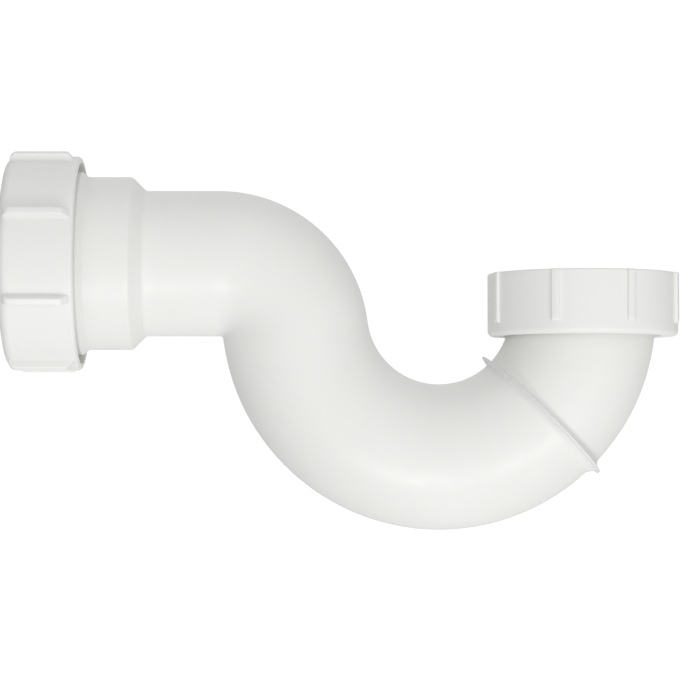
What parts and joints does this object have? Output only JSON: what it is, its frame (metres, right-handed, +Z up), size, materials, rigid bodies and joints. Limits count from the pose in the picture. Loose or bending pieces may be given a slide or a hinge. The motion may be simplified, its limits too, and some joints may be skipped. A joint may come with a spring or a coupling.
{
  "type": "shallow waste trap",
  "caption": "Shallow P-shaped bath or shower waste trap: threaded coupling nut on the upright inlet, U bend with a welded seam, and a compression socket with a ribbed nut for the waste pipe.",
  "frame": {"origin": "centre of the inlet washer's top face, on the inlet's axis, where the waste fitting's tail seats", "axes": "+Z up out of the inlet; the outlet faces -X; Y is across, and the trap is mirror-symmetric about the XZ plane"},
  "size_m": [0.1978, 0.064, 0.1107],
  "materials": {
    "moulded_body": "semi-gloss white moulded polypropylene",
    "moulded_nut": "semi-gloss white moulded polypropylene",
    "moulded_washer": "plain white moulded plastic",
    "rubber": "matt moulded rubber"
  },
  "bodies": {
    "trap_body": {"outlet_bend": "moulded_body", "inlet_elbow": "moulded_body", "inlet_washer": "rubber", "outlet_seal": "rubber"},
    "inlet_nut": {"inlet_nut": "moulded_nut"},
    "outlet_slip_washer": {"outlet_slip_washer": "moulded_washer"},
    "outlet_nut": {"outlet_nut": "moulded_nut"}
  },
  "joints": [
    {"name": "inlet_nut_turn", "type": "hinge", "parent": "trap_body", "child": "inlet_nut", "pos_m": [0, 0, 0], "axis": [0, 0, 1], "continuous": true},
    {"name": "outlet_nut_travel", "type": "slide", "parent": "trap_body", "child": "outlet_slip_washer", "axis": [-1, 0, 0], "range_m": [0, 0.012]},
    {"name": "outlet_nut_turn", "type": "hinge", "parent": "outlet_slip_washer", "child": "outlet_nut", "pos_m": [-0.16095, 0, 0.01164], "axis": [-1, 0, 0], "range_deg": [0, 1440]}
  ],
  "couplings": [
    {"joint": "outlet_nut_travel", "follows": "outlet_nut_turn", "m_per_rad": 0.00047746}
  ]
}
